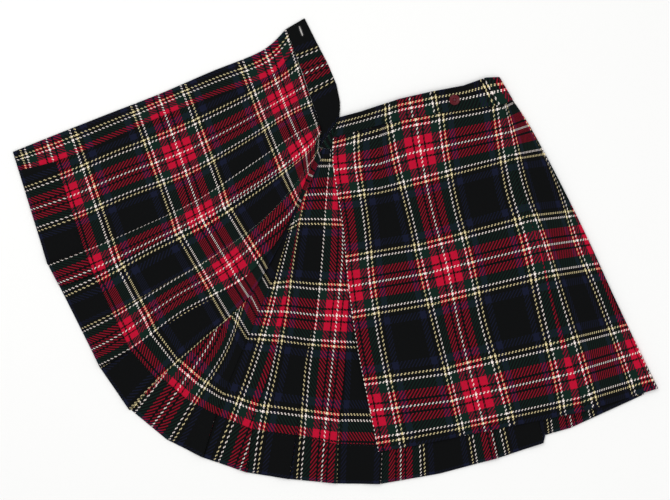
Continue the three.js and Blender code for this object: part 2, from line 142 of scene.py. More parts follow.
underApronCheck = [
    # the second and third knots are the two sides of a dart at the waist
    [(0, 0), ([0.13, 0.13, 0.133, 0.135, 0.145, 0.15, 0.15], 0.25),
     ([0.2, 0.2, 0.2, 0.205, 0.225, 0.26, 0.28], [0.375, 0.375, 0.38, 0.385, 0.395, 0.43, 0.45]),
     ([0.21, 0.21, 0.21, 0.215, 0.235, 0.27, 0.29], [0.39, 0.39, 0.4, 0.43, 0.51, 0.6, 0.65]),
     ([0.4, 0.4, 0.395, 0.375, 0.367, 0.34, 0.32], 0.75), ([0.52, 0.517, 0.517, 0.517, 0.505, 0.5, 0.49], 1),
     ([0.665, 0.66, 0.65, 0.65, 0.65, 0.65, 0.65], 1.25), ([0.89, 0.9, 0.915, 0.92, 0.93, 0.935, 0.94], 1.75),
     (1, [1.96, 1.94, 1.9, 1.88, 1.86, 1.86, 1.85])],
    [(0, [2.13, 2.13, 2.12, 2.13, 2.15, 2.16, 2.16]), ([0.2, 0.2, 0.215, 0.19, 0.22, 0.3, 0.33], 2.25),
     (0.7, [2.79, 2.755, 2.73, 2.74, 2.61, 2.52, 2.48]), (1, [3, 2.99, 2.94, 2.93, 2.83, 2.75, 2.72])],
]
facingWidths = [39, 50, 48, 43, 47, 51, 44]      # at the seven stations


def spline(values, station):
    last = len(values) - 1
    left = min(int(station), last - 1)
    t = station - left
    a, b, c, d = [values[max(0, min(last, left + step))] for step in (-1, 0, 1, 2)]

    def blend(p, q, r, s):
        slopeIn, slopeOut = (r - p) / 2, (s - q) / 2
        bend = 3 * (r - q) - 2 * slopeIn - slopeOut
        turn = 2 * (q - r) + slopeIn + slopeOut
        return q + slopeIn * t + bend * t * t + turn * t * t * t
    if isinstance(b, (tuple, list)):
        return tuple(blend(a[k], b[k], c[k], d[k]) for k in range(2))
    return blend(a, b, c, d)


def atStation(value, station):
    return spline(value, station) if isinstance(value, list) else value


def smooth(value):
    t = max(0, min(1, value))
    return t * t * (3 - 2 * t)


# One row across a cloth: plan points of every line and their distances along it
class Row:
    def __init__(self, points):
        self.points = points
        self.reach = [0]
        for start, end in zip(points, points[1:]):
            self.reach.append(self.reach[-1] + math.dist(start, end))

    def at(self, distance):
        index = 1
        while index < len(self.points) - 1 and distance > self.reach[index]:
            index += 1
        t = (distance - self.reach[index - 1]) / (self.reach[index] - self.reach[index - 1])
        (x0, y0), (x1, y1) = self.points[index - 1], self.points[index]
        return x0 + (x1 - x0) * t, y0 + (y1 - y0) * t


def panelsOf(lines, pleats, station):
    row = Row([spline(line, station) for line in lines.values()])
    panels, bends, start, visible = [], [], 0, 0
    names = list(lines)
    for index, name in enumerate(names[1:], 1):
        isLast = index == len(names) - 1
        if not isLast and name not in pleats:
            bends.append(row.reach[index])
            continue
        end = row.reach[index]
        depth = 0
        if not isLast:
            shallow, deep = pleats[name]
            depth = min(shallow + (deep - shallow) * station / cloth["sections"], (end - visible) * 0.45)
        rampEnd = end - depth - 2 * cloth["foldBend"]
        rampStart = rampEnd - min(cloth["rampLength"], (rampEnd - visible) * 0.7)
        panels.append({"start": start, "visible": visible, "bends": bends, "rampStart": rampStart,
                       "rampEnd": rampEnd, "end": end, "depth": depth, "isLast": isLast})
        start, visible, bends = end - depth + cloth["foldBend"], end, []
    return row, panels


def panelHeight(panel, distance):
    if panel["isLast"]:
        return 0
    return pleatRise * smooth((distance - panel["rampStart"]) / (panel["rampEnd"] - panel["rampStart"]))


def checkAt(knots, share, station):
    fixed = [(atStation(place, station), atStation(value, station)) for place, value in knots]
    for (place0, value0), (place1, value1) in zip(fixed, fixed[1:]):
        if share <= place1 or place1 == fixed[-1][0]:
            return value0 + (value1 - value0) * (share - place0) / (place1 - place0)


def panelCheck(panel, knots, distance, station):
    share = (distance - panel["visible"]) / (panel["end"] - panel["visible"])
    return checkAt(knots, share, station)


def spread(marks, parts):
    stops = [marks[0]]
    for start, end in zip(marks, marks[1:]):
        stops += [start + (end - start) * part / parts for part in range(1, parts + 1)]
    return stops


def panelStops(panel, parts):
    limit = panel["end"] if panel["isLast"] else panel["rampStart"]
    first = panel["start"]
    bends = [min(bend, first + (limit - first) * 0.8) for bend in panel["bends"]]
    stops = [first] if panel["visible"] > first else []
    stops += spread([panel["visible"]] + bends + [limit], parts)
    if not panel["isLast"]:
        stops += spread([panel["rampStart"], panel["rampEnd"], panel["end"] - cloth["foldBend"]], 4)[1:]
    return stops


# A soft crease beside one knot of a panel's check: its height at each station, in millimetres
def creaseOf(panel, knots, crease, station):
    place = atStation(knots[crease["knot"]][0], station)
    return panel["visible"] + (panel["end"] - panel["visible"]) * place, atStation(crease["height"], station)


def foldedPath(panels, check, station, parts, creases):
    path = []       # distance along the row, height, place in the check
    bend = cloth["foldBend"]
    for index, (panel, knots) in enumerate(zip(panels, check)):
        stops = panelStops(panel, parts)
        width = panel["end"] - panel["visible"]
        stops += [panel["visible"] + width * atStation(place, station) for place, value in knots[1:-1]]
        raised = [creaseOf(panel, knots, crease, station) for crease in creases if crease["panel"] == index]
        for place, height in raised:
            stops += [place + step for step in cloth["creaseSteps"]]
        for stop in sorted(stops):
            shown = stop >= panel["visible"] - 1e-6
            level = panelHeight(panel, stop)
            for place, height in raised:
                level += height * math.exp(-((stop - place) / cloth["creaseWidth"]) ** 2)
            path.append([stop, level, panelCheck(panel, knots, stop, station) if shown else None])
        if panel["isLast"]:
            continue
        steps = 6
        for step in range(1, steps + 1):
            angle = math.pi * (0.5 - step / steps)
            path.append([panel["end"] - bend + bend * math.cos(angle),
                         pleatRise - layerStep / 2 + layerStep / 2 * math.sin(angle), None])
        under = panel["end"] - panel["depth"] + bend
        path.append([(under + panel["end"] - bend) / 2, layerStep, None])
        for step in range(steps):
            angle = math.pi * (0.5 + step / steps)
            path.append([under + bend * math.cos(angle),
                         layerStep / 2 + layerStep / 2 * math.sin(angle), None])
    fillCheck(path)
    return path


def fillCheck(path):
    known = [index for index, point in enumerate(path) if point[2] is not None]
    for first, second in zip(known, known[1:]):
        lengths = [0]
        for index in range(first, second):
            lengths.append(lengths[-1] + math.dist(path[index][:2], path[index + 1][:2]))
        for index in range(first + 1, second):
            share = lengths[index - first] / lengths[-1]
            path[index][2] = path[first][2] + (path[second][2] - path[first][2]) * share


# The row's last end turns down by drop and back under itself
def wrapEnd(path, drop):
    end, height, place = path.pop()
    steps = 8
    for step in range(steps + 1):
        angle = math.pi * step / steps
        path.append([end - drop / 2 + math.sin(angle) * drop / 2, -drop / 2 + math.cos(angle) * drop / 2,
                     place + angle * drop / 2 / cloth["checkWidth"]])
    for part in (1, 2, 3):
        reach = cloth["wrapReturn"] * part / 3
        path.append([end - drop / 2 - reach, -drop, path[-1][2] + cloth["wrapReturn"] / 3 / cloth["checkWidth"]])


def ripple(x, y):
    broad = noise.noise(Vector((x, y, 300)) / cloth["rippleLength"])
    fine = noise.noise(Vector((x, y, 900)) / (cloth["rippleLength"] * cloth["fineRipple"]))
    return cloth["rippleHeight"] * max(0, 0.75 + 1.3 * broad + 0.4 * fine)


# How far the over apron lies above the floor where it covers the pleated back
def overApronLift(x, y):
    line = backLines["start"]
    nearest, side = math.inf, 1
    for (x0, y0), (x1, y1) in zip(line, line[1:]):
        along = (x1 - x0, y1 - y0)
        t = ((x - x0) * along[0] + (y - y0) * along[1]) / (along[0] ** 2 + along[1] ** 2)
        inside = max(0, min(1, t))
        away = (x - x0 - along[0] * inside, y - y0 - along[1] * inside)
        distance = math.hypot(*away)
        if distance < nearest:
            nearest = distance
            side = 1 if away[0] * along[1] - away[1] * along[0] > 0 else -1
    coverStart, coverEnd = -44, -10
    lowLift, highLift = layerStep + 0.25, pleatRise + layerStep + 0.45
    height = lowLift + (highLift - lowLift) * smooth((y + 130) / 90)
    return height * smooth((side * nearest - coverStart) / (coverEnd - coverStart))


def overLevel(x, y):
    return floorLevel + overApronLift(x, y)


def backLevel(x, y):
    return floorLevel


def underLevel(x, y):
    return cloth["underApronHeight"]


def stationsBetween(first, last, step):
    count = round((last - first) / step)
    return [first + (last - first) * index / count for index in range(count + 1)]


# rows holds (x, y, z, check across, check up) in millimetres and checks
def clothMesh(name, rows):
    bm = bmesh.new()
    bmesh.ops.create_grid(bm, x_segments=len(rows[0]) - 1, y_segments=len(rows) - 1, size=1)
    ordered = sorted(bm.verts, key=lambda vert: (round(vert.co.y, 5), round(vert.co.x, 5)))
    places = {}
    for vert, point in zip(ordered, [point for row in rows for point in row]):
        vert.co = Vector(point[:3]) * mm
        places[vert] = point[3:]
    check = bm.loops.layers.uv.new("check")
    for face in bm.faces:
        for loop in face.loops:
            loop[check].uv = places[loop.vert]
    return pieceFrom(bm, name)


def pieceFrom(bm, name, smoothShaded=True):
    for face in bm.faces:
        face.smooth = smoothShaded
    mesh = bpy.data.meshes.new(name)
    bm.to_mesh(mesh)
    bm.free()
    piece = bpy.data.objects.new(name, mesh)
    bpy.context.collection.objects.link(piece)
    return piece


def thicken(piece, thickness):
    wall = piece.modifiers.new("wall", "SOLIDIFY")
    wall.thickness = thickness * mm
    wall.offset = 0
    return piece


def dress(piece, material, nodes):
    piece.data.materials.clear()
    piece.data.materials.append(material)
    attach(piece, "root")
    if nodes:
        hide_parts(*nodes)
    return piece


# Materials

def linear(*values):
    shares = [value / 255 for value in values]
    return tuple(c / 12.92 if c <= 0.04045 else ((c + 0.055) / 1.055) ** 2.4 for c in shares) + (1,)


# colour, and how full the yarn looks beside a darker one: the share of its width that keeps its own colour, the rest
# being painted shade in the gap
yarn = {
    "black": (linear(7, 8, 9), 1),
    "blue": (linear(18, 22, 42), 0.8),
    "green": (linear(12, 34, 27), 0.9),
    "red": (linear(182, 12, 46), 0.46),
    "white": (linear(252, 240, 232), 0.67),
    "yellow": (linear(232, 214, 162), 0.63),
}
check = {
    "threads": 120,
    # stripes from the middle of the red band outwards, in threads
    "stripes": [("white", 0), ("red", 1), ("black", 5), ("red", 7), ("green", 15), ("white", 23.6),
                ("black", 25.6), ("yellow", 29), ("black", 31), ("blue", 35), ("black", 42)],
    "bump": 0.35,
    "bumpDistance": 0.0005,
    "roughness": 0.88,
    "sheen": 0.02,
    "unshadedCover": 1.75,          # how much of a yarn's width keeps its own colour over the painted gap shade
}


def joinNodes(tree, source, target):
    tree.links.new(source, target)


def calc(tree, operation, first, second=None, third=None):
    node = tree.nodes.new("ShaderNodeMath")
    node.operation = operation
    for socket, value in zip(node.inputs, (first, second, third)):
        if value is None:
            continue
        if isinstance(value, (int, float)):
            socket.default_value = value
        else:
            joinNodes(tree, value, socket)
    return node.outputs[0]


def mixColour(tree, factor, first, second, blendType="MIX"):
    node = tree.nodes.new("ShaderNodeMix")
    node.data_type = "RGBA"
    node.blend_type = blendType
    for name, value in (("Factor_Float", factor), ("A_Color", first), ("B_Color", second)):
        socket = next(s for s in node.inputs if s.identifier == name)
        if isinstance(value, (int, float, tuple)):
            socket.default_value = value
        else:
            joinNodes(tree, value, socket)
    return next(s for s in node.outputs if s.identifier == "Result_Color")


def newGroup(name, inputs, outputs):
    group = bpy.data.node_groups.new(name, "ShaderNodeTree")
    for socketName, kind, value in inputs:
        socket = group.interface.new_socket(socketName, in_out="INPUT", socket_type=kind)
        if value is not None:
            socket.default_value = value
    for socketName, kind in outputs:
        group.interface.new_socket(socketName, in_out="OUTPUT", socket_type=kind)
    return group, group.nodes.new("NodeGroupInput"), group.nodes.new("NodeGroupOutput")


def useGroup(tree, group):
    node = tree.nodes.new("ShaderNodeGroup")
    node.node_tree = group
    return node


# Thread number in, yarn colour and its unshaded share out, the rest of the yarn's width being painted gap shade
def makeStripes():
    group, source, target = newGroup("yarnStripes", [("Thread", "NodeSocketFloat", 0)],
                                     [("Color", "NodeSocketColor"), ("Unshaded Share", "NodeSocketFloat")])
    place = calc(group, "DIVIDE", calc(group, "ADD", source.outputs[0], 0.5), check["threads"])
    nearest = calc(group, "FLOOR", calc(group, "ADD", place, 0.5))
    away = calc(group, "ABSOLUTE", calc(group, "SUBTRACT", place, nearest))
    ramp = group.nodes.new("ShaderNodeValToRGB")
    ramp.color_ramp.interpolation = "CONSTANT"
    half = check["threads"] / 2
    elements = ramp.color_ramp.elements
    while len(elements) > 1:
        elements.remove(elements[-1])
    elements[0].position = 0
    for index, (name, start) in enumerate(check["stripes"]):
        element = elements.new(start / half) if index else elements[0]
        colour, unshadedShare = yarn[name]
        element.color = (*colour[:3], unshadedShare)
    joinNodes(group, calc(group, "MULTIPLY", away, 2), ramp.inputs[0])
    joinNodes(group, ramp.outputs[0], target.inputs[0])
    joinNodes(group, ramp.outputs[1], target.inputs[1])
    return group


# Place in the check in, colour with painted yarn shade and height of a two-over-two twill out
def makeTwill(stripes):
    group, source, target = newGroup(
        "checkTwill",
        [("Check", "NodeSocketVector", None), ("Wear", "NodeSocketFloat", 0.15)],
        [("Color", "NodeSocketColor"), ("Height", "NodeSocketFloat")])
    split = group.nodes.new("ShaderNodeSeparateXYZ")
    joinNodes(group, source.outputs["Check"], split.inputs[0])
    across = calc(group, "MULTIPLY", split.outputs[0], check["threads"])
    up = calc(group, "MULTIPLY", split.outputs[1], check["threads"])
    end = calc(group, "FLOOR", across)
    pick = calc(group, "FLOOR", up)
    colours, unshadedShare = [], []
    for thread in (end, pick):
        node = useGroup(group, stripes)
        joinNodes(group, thread, node.inputs[0])
        colours.append(node.outputs[0])
        unshadedShare.append(node.outputs[1])
    phase = calc(group, "FLOORED_MODULO", calc(group, "ADD", end, pick), 4)
    warpOver = calc(group, "LESS_THAN", phase, 1.5)

    def roundOf(value):
        centred = calc(group, "MULTIPLY_ADD", calc(group, "FRACT", value), 2, -1)
        return calc(group, "SUBTRACT", 1, calc(group, "MULTIPLY", centred, centred))

    def floatOf(first, second, shift):
        along = calc(group, "FLOORED_MODULO", calc(group, "ADD", first, second), 4)
        return calc(group, "SINE", calc(group, "MULTIPLY", calc(group, "SUBTRACT", along, shift), math.pi / 2))
    warpHeight = calc(group, "MULTIPLY", roundOf(across), floatOf(end, up, 0))
    weftHeight = calc(group, "MULTIPLY", roundOf(up), floatOf(across, pick, 2))
    isWeft = calc(group, "SUBTRACT", 1, warpOver)
    height = calc(group, "ADD", calc(group, "MULTIPLY", warpHeight, warpOver),
                  calc(group, "MULTIPLY", weftHeight, isWeft))
    height = calc(group, "MAXIMUM", height, 0)
    over = mixColour(group, warpOver, colours[1], colours[0])
    overUnshaded = calc(group, "ADD", calc(group, "MULTIPLY", unshadedShare[0], warpOver),
                    calc(group, "MULTIPLY", unshadedShare[1], isWeft))
    # painted shade in the gaps between yarns: where the top yarn does not cover, the darker of the two crossing yarns
    # shows
    unshadedCover = calc(group, "MINIMUM", calc(group, "MULTIPLY", calc(group, "MULTIPLY", height, check["unshadedCover"]),
                                        overUnshaded), 1)
    gapShade = mixColour(group, 1.0, colours[0], colours[1], "DARKEN")
    colour = mixColour(group, unshadedCover, gapShade, over)
    # each yarn differs a little from the next
    fuzz = group.nodes.new("ShaderNodeTexWhiteNoise")
    fuzz.noise_dimensions = "2D"
    pair = group.nodes.new("ShaderNodeCombineXYZ")
    joinNodes(group, calc(group, "ADD", end, calc(group, "MULTIPLY", warpOver, 57)), pair.inputs[0])
    joinNodes(group, pick, pair.inputs[1])
    joinNodes(group, pair.outputs[0], fuzz.inputs["Vector"])
    tone = calc(group, "MULTIPLY_ADD", fuzz.outputs["Value"], source.outputs["Wear"], 0.95)
    # painted shade along each yarn: darker towards its edges and the ends of its floats, by its height, on top of the
    # random tone of each yarn
    toneAndShade = calc(group, "MULTIPLY", tone, calc(group, "MULTIPLY_ADD", height, 0.2, 0.88))
    grey = group.nodes.new("ShaderNodeCombineColor")
    for socket in grey.inputs[:3]:
        joinNodes(group, toneAndShade, socket)
    joinNodes(group, mixColour(group, 1.0, colour, grey.outputs[0], "MULTIPLY"), target.inputs["Color"])
    joinNodes(group, height, target.inputs["Height"])
    return group


def newMaterial(name, roughness):
    material = bpy.data.materials.new(name)
    material.use_nodes = True
    tree = material.node_tree
    shader = tree.nodes["Principled BSDF"]
    shader.inputs["Roughness"].default_value = roughness
    return material, tree, shader


def makeTartan(name, twill, wear):
    material, tree, shader = newMaterial(name, check["roughness"])
    shader.inputs["Sheen Weight"].default_value = check["sheen"]
    shader.inputs["Sheen Roughness"].default_value = 0.5
    shader.inputs["Specular IOR Level"].default_value = 0.08
    uv = tree.nodes.new("ShaderNodeUVMap")
    uv.uv_map = "check"
    weave = useGroup(tree, twill)
    weave.inputs["Wear"].default_value = wear
    joinNodes(tree, uv.outputs[0], weave.inputs["Check"])
    joinNodes(tree, weave.outputs["Color"], shader.inputs["Base Color"])
    bump = tree.nodes.new("ShaderNodeBump")
    bump.inputs["Strength"].default_value = check["bump"]
    bump.inputs["Distance"].default_value = check["bumpDistance"]
    joinNodes(tree, weave.outputs["Height"], bump.inputs["Height"])
    joinNodes(tree, bump.outputs[0], shader.inputs["Normal"])
    return material


stripes = makeStripes()
twill = makeTwill(stripes)
tartan = makeTartan("tartanWool", twill, 0.15)
print("materials made")


# Walls

def foldedWall(name, lines, pleats, check, checkUpName, level, parts, flip=1, drop=0, creases=()):
    rows = []
    for station in stationsBetween(0, cloth["sections"], cloth["rowStep"]):
        row, panels = panelsOf(lines, pleats, station)
        path = foldedPath(panels, check, station, parts, creases)
        if drop:
            wrapEnd(path, drop)
        points = []
        for distance, height, place in path:
            x, y = row.at(distance)
            up = checkAt(checkUp[checkUpName], distance / row.reach[-1], station)
            z = height + level(x, y) + ripple(x, y)
            points.append((x, y, z, place * flip, up))
        rows.append(points)
    return clothMesh(name, rows)


# A strip on one panel, made from the panel's own points moved up off its face
def strip(name, lines, pleats, index, level, stations, reachOf, check, upOf):
    rows = []
    for station in stations:
        row, panels = panelsOf(lines, pleats, station)
        panel = panels[index]
        first, last = reachOf(panel, station)
        marks = [first] + [mark for mark in panel["bends"] if first + 1 < mark < last - 1] + [last]
        if len(marks) == 2 and panel["bends"]:
            marks.insert(1, (first + last) / 2)
        points = []
        for distance in spread(marks, 16):
            x, y = row.at(distance)
            z = panelHeight(panel, distance) + onTop + level(x, y) + ripple(x, y)
            points.append((x, y, z, check(panel, distance, station), upOf(distance / row.reach[-1], station)))
        rows.append(points)
    return clothMesh(name, rows)


def hemReach(lines, index):
    def reach(panel, station):
        isFront = lines is overApronLines and index == 0
        isCovered = lines is backLines and index == 0
        clear = cloth["thickness"] / 2 + cloth["hemClear"] + (cloth["coveredWidth"] if isCovered else 0)
        first = spline(facingWidths, station) + cloth["seamGap"] if isFront else panel["visible"] + clear
        return first, panel["end"] + (-cloth["foldBend"] if panel["isLast"] else 0.4)
    return reach


def hemStrip(name, lines, pleats, index, level, check):
    stations = stationsBetween(0, cloth["hemEdge"], cloth["hemEdge"] / 8)
    return strip(name, lines, pleats, index, level, stations, hemReach(lines, index),
                 lambda panel, distance, station: panelCheck(panel, check[index], distance, station),
                 lambda share, station: -0.31 - 0.33 * station)


overApronTuck = {"panel": 2, "knot": 3, "height": [0, 0.1, 0.5, 0.9, 1, 0.9, 0.6]}
underApronDart = {"panel": 0, "knot": 2, "height": [0, 0, 0, -0.2, -0.9, -1.1, -1.1]}
overApron = foldedWall("overApronCloth", overApronLines, overApronPleats, overApronCheck, "inside", overLevel, 14,
                       creases=[overApronTuck])
dress(thicken(overApron, cloth["thickness"]), tartan, ["over_apron"])
back = foldedWall("pleatedBackCloth", backLines, backPleats, backCheck, "back", backLevel, 10)
dress(thicken(back, cloth["thickness"]), tartan, ["pleated_back"])
underApron = foldedWall("underApronCloth", underApronLines, underApronPleats, underApronCheck, "outside",
                        underLevel, 14, flip=-1, drop=cloth["underApronHeight"] - floorLevel,
                        creases=[underApronDart])
dress(thicken(underApron, cloth["thickness"]), tartan, ["under_apron"])

overHems = [hemStrip(f"overApronHem{n + 1}", overApronLines, overApronPleats, n, overLevel, overApronCheck)
            for n in range(4)]
backHems = [hemStrip(f"backHem{n + 1}", backLines, backPleats, n, backLevel, backCheck) for n in range(8)]
for number, piece in enumerate(overHems, 1):
    dress(thicken(piece, cloth["thickness"]), tartan, [f"over_apron_hem_{number}"])
for number, piece in enumerate(backHems, 1):
    dress(thicken(piece, cloth["thickness"]), tartan, [f"back_hem_{number}"])
facing = strip("frontFacing", overApronLines, overApronPleats, 0, overLevel,
               stationsBetween(0, cloth["sections"], cloth["rowStep"]),
               lambda panel, station: (0.4, spline(facingWidths, station)),
               lambda panel, distance, station: 0.335 - 0.265 * distance / spline(facingWidths, station),
               lambda share, station: checkAt(checkUp["inside"], share, station))
dress(thicken(facing, cloth["thickness"]), tartan, ["front_facing"])
print("hems and facing made")

# Waistband pieces: seam edge, top edge and place in the check at each station along the band, and
# the check from its seam up to its top
bands = {
    "thickness": 2.4,
    "over": {
        "seam": [(-98, 444), (-82, 398), (-65, 351), (-49, 304), (-33, 258), (-29, 238), (-32.2, 206.6)],
        "top": [(-62, 465), (-37, 415), (-15, 373), (2, 332), (9, 298), (9, 282), (7, 264)],
        "across": [0.4, 0.7, 1.01, 1.31, 1.55, 1.62, 1.68],
        "up": (0.42, 0.58),
    },
    "back": {
        "seam": [(-32.2, 206.6), (-11, 203), (15, 208), (77, 224), (133, 242), (189, 258), (253, 274), (328, 290)],
        "top": [(7, 264), (9, 262), (28, 262), (82, 274), (138, 290), (190, 302), (252, 314), (298, 329)],
        "across": [1.82, 1.86, 2, 2.3, 2.55, 2.8, 3.1, 3.45],
        "up": (0.42, 0.58),
    },
    "under": {
        "seam": [(-5, 226), (45, 239), (90, 251), (136, 262), (200, 273), (265, 282), (334, 292), (353, 301)],
        "top": [(5, 266), (49, 278), (89, 291), (129, 304), (191, 318), (255, 330), (300, 346), (326, 347)],
        "across": [-0.26, -0.5, -0.7, -0.912, -1.22, -1.54, -1.82, -1.93],
        "up": (0.13, 0.30),
    },
    "edgeRound": 0.8,
    "crown": 0.35,
}


def bandPiece(name, edges, height, drop=0):
    rows = []
    low, high = edges["up"]
    for share in [n / 8 for n in range(9)]:
        points = []
        for seam, top in zip(edges["seam"], edges["top"]):
            length = math.dist(seam, top)
            off = (cloth["seamGap"] + (length - cloth["seamGap"]) * share) / length
            points.append((seam[0] + (top[0] - seam[0]) * off, seam[1] + (top[1] - seam[1]) * off))
        row = Row(points)
        path = [[distance, 0, place] for distance, place in
                zip(spread(row.reach, 6), spread(edges["across"], 6))]
        path[0][0] += cloth["seamGap"]
        if drop:
            wrapEnd(path, drop)
        else:
            path[-1][0] -= cloth["seamGap"]
        crown = bands["crown"] * (1 - (2 * share - 1) ** 2)
        line = []
        for distance, z, place in path:
            x, y = row.at(distance)
            line.append((x, y, z + height + crown + ripple(x, y), place, low + (high - low) * share))
        rows.append(line)
    piece = thicken(clothMesh(name, rows), bands["thickness"])
    rounded = piece.modifiers.new("edgeRound", "BEVEL")
    rounded.width = bands["edgeRound"] * mm
    rounded.segments = 3
    rounded.limit_method = "ANGLE"
    rounded.angle_limit = math.radians(50)
    return piece


bandLevel = bands["thickness"] / 2
overBand = bandPiece("overApronBand", bands["over"], bandLevel)
backBand = bandPiece("backBand", bands["back"], bandLevel)
underBand = bandPiece("underApronBand", bands["under"], cloth["underApronHeight"],
                      drop=cloth["underApronHeight"] - bandLevel)


# Takes the cutter's shape out of a piece, and applies the piece's modifiers
def cutAway(piece, cutter):
    cut = piece.modifiers.new("cut", "BOOLEAN")
    cut.object = cutter
    cut.operation = "DIFFERENCE"
    cut.solver = "EXACT"
    bpy.context.view_layer.update()
    graph = bpy.context.evaluated_depsgraph_get()
    mesh = bpy.data.meshes.new_from_object(piece.evaluated_get(graph))
    piece.modifiers.clear()
    piece.data = mesh
    bpy.data.objects.remove(cutter)


buttonhole = {
    "length": 20, "width": 2.4, "place": (-69, 439), "turn": -1.22, "cutDepth": 16, "cutLevel": 1.5,
    "threads": 52, "threadRadius": 0.36, "threadLength": 1.9,
}


# A flat-sided slot with round ends, standing on its end along Z
def slotShape(bm, depth):
    reach = buttonhole["length"] / 2 - buttonhole["width"] / 2
    made = bmesh.ops.create_circle(bm, cap_ends=True, segments=16, radius=buttonhole["width"] / 2)
    for vert in made["verts"]:
        vert.co.x += reach if vert.co.x > 1e-4 else -reach if vert.co.x < -1e-4 else 0
        vert.co.z -= depth / 2
    side = bmesh.ops.extrude_face_region(bm, geom=list(bm.faces))
    bmesh.ops.translate(bm, vec=(0, 0, depth), verts=[g for g in side["geom"] if isinstance(g, bmesh.types.BMVert)])
    bmesh.ops.recalc_face_normals(bm, faces=bm.faces)


def cutSlot(piece):
    bm = bmesh.new()
    slotShape(bm, buttonhole["cutDepth"])
    place = Matrix.Translation((*buttonhole["place"], buttonhole["cutLevel"]))
    turn = Matrix.Rotation(buttonhole["turn"], 4, "Z")
    bmesh.ops.transform(bm, matrix=Matrix.Scale(mm, 4) @ place @ turn, verts=bm.verts)
    cutAway(piece, pieceFrom(bm, "slotCutter", False))


# Thread: one short straight stitch from start to end, in millimetres
def addStitch(bm, start, end, radius):
    along = Vector(end) - Vector(start)
    spot = Matrix.Translation((Vector(start) + along / 2) * mm) @ along.to_track_quat("Z", "Y").to_matrix().to_4x4()
    bmesh.ops.create_cone(bm, cap_ends=True, segments=6, radius1=radius * mm, radius2=radius * mm,
                          depth=along.length * mm, matrix=spot)


def slotStitches():
    bm = bmesh.new()
    size = buttonhole
    reach = (size["length"] - size["width"]) / 2
    inner = size["width"] / 2 + 0.1
    outer = inner + size["threadLength"]
    straight, half = 4 * reach, math.pi * inner
    turn = Matrix.Rotation(size["turn"], 3, "Z")
    place = Vector((*size["place"], 0))
    top = bandLevel + bands["thickness"] / 2 + bands["crown"] + ripple(*size["place"])
    for number in range(size["threads"]):
        run = (straight + 2 * half) * number / size["threads"]
        if run < 2 * reach:
            centre, angle = Vector((reach - run, 0, 0)), math.pi / 2
        elif run < 2 * reach + half:
            centre, angle = Vector((-reach, 0, 0)), math.pi / 2 + (run - 2 * reach) / inner
        elif run < straight + half:
            centre, angle = Vector((run - half - 3 * reach, 0, 0)), -math.pi / 2
        else:
            centre, angle = Vector((reach, 0, 0)), -math.pi / 2 + (run - straight - half) / inner
        out = Vector((math.cos(angle), math.sin(angle), 0))
        start, end = [place + turn @ (centre + out * away) for away in (inner, outer)]
        addStitch(bm, (start.x, start.y, top + 0.1), (end.x, end.y, top), size["threadRadius"])
    return pieceFrom(bm, "buttonholeStitches")


cutSlot(overBand)
dress(overBand, tartan, ["waistband_over_apron"])
dress(backBand, tartan, ["waistband_back"])
dress(underBand, tartan, ["waistband_under_apron"])
print("waistband made")

# Button: dished, with a raised rim and four holes, sewn on with dark red thread
button = {
    "radius": 10.5, "edge": 3.0, "dish": 1.9, "rim": 2.6, "holeRadius": 1.1, "holeReach": 2.1,
    "place": (237, 301), "turns": 48, "threadRadius": 0.45,
}


def makeButtonMaterial():
    material, tree, shader = newMaterial("buttonRed", 0.5)
    shader.inputs["Coat Weight"].default_value = 0.04
    shader.inputs["Specular IOR Level"].default_value = 0.2
    shader.inputs["Coat Roughness"].default_value = 0.15
    coord = tree.nodes.new("ShaderNodeTexCoord")
    cloud = tree.nodes.new("ShaderNodeTexNoise")
    cloud.inputs["Scale"].default_value = 220
    joinNodes(tree, coord.outputs["Object"], cloud.inputs["Vector"])
    joinNodes(tree, mixColour(tree, cloud.outputs["Fac"], linear(64, 5, 14), linear(100, 12, 26)),
              shader.inputs["Base Color"])
    joinNodes(tree, calc(tree, "MULTIPLY_ADD", cloud.outputs["Fac"], 0.2, 0.35), shader.inputs["Roughness"])
    return material


def makeThreadMaterial(name, dark, light):
    material, tree, shader = newMaterial(name, 0.7)
    shader.inputs["Sheen Weight"].default_value = 0.3
    coord = tree.nodes.new("ShaderNodeTexCoord")
    ply = tree.nodes.new("ShaderNodeTexNoise")
    ply.inputs["Scale"].default_value = 1600
    joinNodes(tree, coord.outputs["Object"], ply.inputs["Vector"])
    joinNodes(tree, mixColour(tree, ply.outputs["Fac"], dark, light), shader.inputs["Base Color"])
    bump = tree.nodes.new("ShaderNodeBump")
    bump.inputs["Strength"].default_value = 0.4
    bump.inputs["Distance"].default_value = 0.0002
    joinNodes(tree, ply.outputs["Fac"], bump.inputs["Height"])
    joinNodes(tree, bump.outputs[0], shader.inputs["Normal"])
    return material


